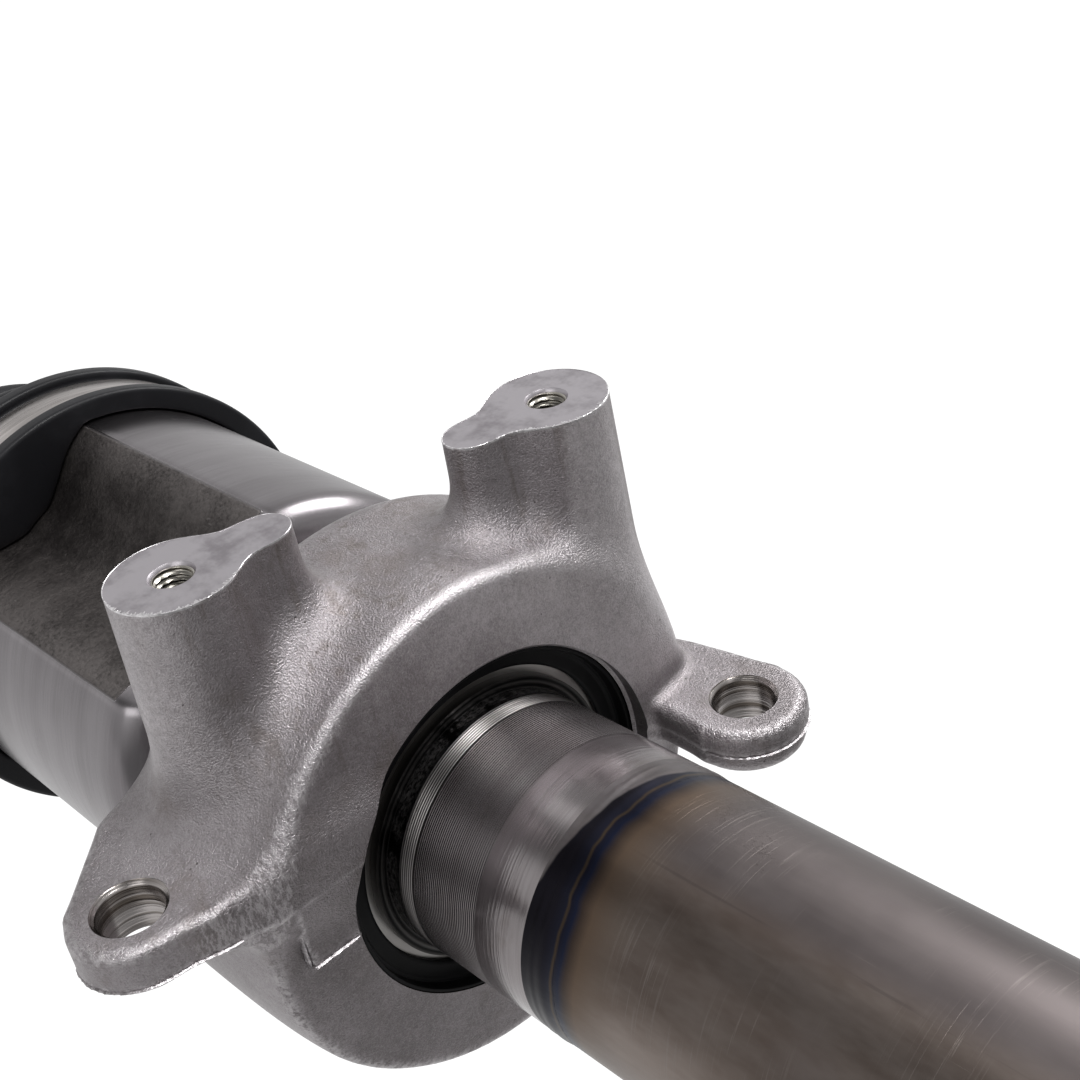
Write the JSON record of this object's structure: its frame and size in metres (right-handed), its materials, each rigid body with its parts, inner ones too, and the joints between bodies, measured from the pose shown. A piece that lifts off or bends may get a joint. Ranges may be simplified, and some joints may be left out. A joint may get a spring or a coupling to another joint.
{
  "type": "cv axle shaft",
  "caption": "Front axle shaft with intermediate tube, centre bearing in a two-eared cast bracket, tripod inner joint, ball-type outer joint, bellows boots and splined ends.",
  "frame": {"origin": "on the shaft axis, at the middle of the inboard seal journal", "axes": "+X inboard along the shaft, +Z square to the bracket's ear faces towards the boss tops, +Y across the shaft"},
  "size_m": [0.9855, 0.121, 0.1104],
  "materials": {
    "cast_aluminium": "sand-cast, shot-blasted, machined pads",
    "machined_steel": "turned and ground",
    "forged_steel": "forged, oxide film",
    "tube_steel": "drawn tube, oiled, fine scratches",
    "hardened_steel": "hardened and polished",
    "spring_steel": "phosphated",
    "stainless": "bright strip",
    "rubber": "satin black"
  },
  "bodies": {
    "bracket": {"bearing_bracket": "cast_aluminium", "bearing_outer_race": "machined_steel", "inboard_seal": "rubber", "outboard_seal": "rubber", "bracket_snap_ring": "spring_steel"},
    "bearing_set": {"bearing_balls": "hardened_steel", "bearing_cage": "forged_steel"},
    "shaft": {"bearing_inner_race": "machined_steel", "shaft_circlip": "spring_steel", "dust_shield": "machined_steel", "tulip_housing": "machined_steel", "weld_ring_outboard": "forged_steel", "intermediate_tube": "tube_steel", "weld_ring_inboard": "forged_steel", "inboard_stub": "machined_steel", "inboard_snap_ring": "spring_steel", "inner_boot_large_clamp": "stainless"},
    "boot_middle": {"inner_boot": "rubber"},
    "bar": {"tripod_spider": "forged_steel", "trunnion_needles": "hardened_steel", "roller_retainers": "spring_steel", "spider_circlip": "spring_steel", "inner_boot_small_clamp": "stainless", "axle_bar": "forged_steel", "race_circlip": "spring_steel", "outer_inner_race": "machined_steel", "outer_boot": "rubber", "outer_boot_small_clamp": "stainless"},
    "first_roller": {"roller_a": "hardened_steel"},
    "second_roller": {"roller_b": "hardened_steel"},
    "third_roller": {"roller_c": "hardened_steel"},
    "cage": {"outer_cage": "forged_steel", "outer_balls": "hardened_steel"},
    "bell": {"outer_bell": "machined_steel", "outer_boot_large_clamp": "stainless"}
  },
  "joints": [
    {"name": "shaft_spin", "type": "hinge", "parent": "bracket", "child": "shaft", "pos_m": [-0.2974, 0, 0], "axis": [1, 0, 0], "continuous": true},
    {"name": "bearing_roll", "type": "hinge", "parent": "bracket", "child": "bearing_set", "pos_m": [-0.2974, 0, 0], "axis": [1, 0, 0], "continuous": true},
    {"name": "plunge", "type": "slide", "parent": "shaft", "child": "boot_middle", "axis": [1, 0, 0], "range_m": [-0.01, 0.01], "deforming": ["inner_boot"]},
    {"name": "inner_bend", "type": "hinge", "parent": "boot_middle", "child": "bar", "pos_m": [-0.389, 0, 0], "axis": [0, 0, 1], "range_deg": [-18, 18], "deforming": ["inner_boot"]},
    {"name": "first_roller_spin", "type": "hinge", "parent": "bar", "child": "first_roller", "pos_m": [-0.389, 0, 0], "axis": [0, 0.5519, 0.8339], "range_deg": [-34, 34]},
    {"name": "second_roller_spin", "type": "hinge", "parent": "bar", "child": "second_roller", "pos_m": [-0.389, 0, 0], "axis": [0, -0.9981, 0.061], "range_deg": [-34, 34]},
    {"name": "third_roller_spin", "type": "hinge", "parent": "bar", "child": "third_roller", "pos_m": [-0.389, 0, 0], "axis": [0, 0.4462, -0.8949], "range_deg": [-34, 34]},
    {"name": "outer_bend", "type": "hinge", "parent": "bar", "child": "bell", "pos_m": [-0.805, 0, 0], "axis": [0, 0, 1], "range_deg": [-42, 42], "deforming": ["outer_boot"]},
    {"name": "cage_bend", "type": "hinge", "parent": "bar", "child": "cage", "pos_m": [-0.805, 0, 0], "axis": [0, 0, 1], "range_deg": [-21, 21]}
  ],
  "couplings": [
    {"joint": "bearing_roll", "follows": "shaft_spin", "ratio": 0.427},
    {"joint": "first_roller_spin", "follows": "plunge", "rad_per_m": 58.82},
    {"joint": "second_roller_spin", "follows": "plunge", "rad_per_m": 58.82},
    {"joint": "third_roller_spin", "follows": "plunge", "rad_per_m": 58.82},
    {"joint": "cage_bend", "follows": "outer_bend", "ratio": 0.5}
  ]
}
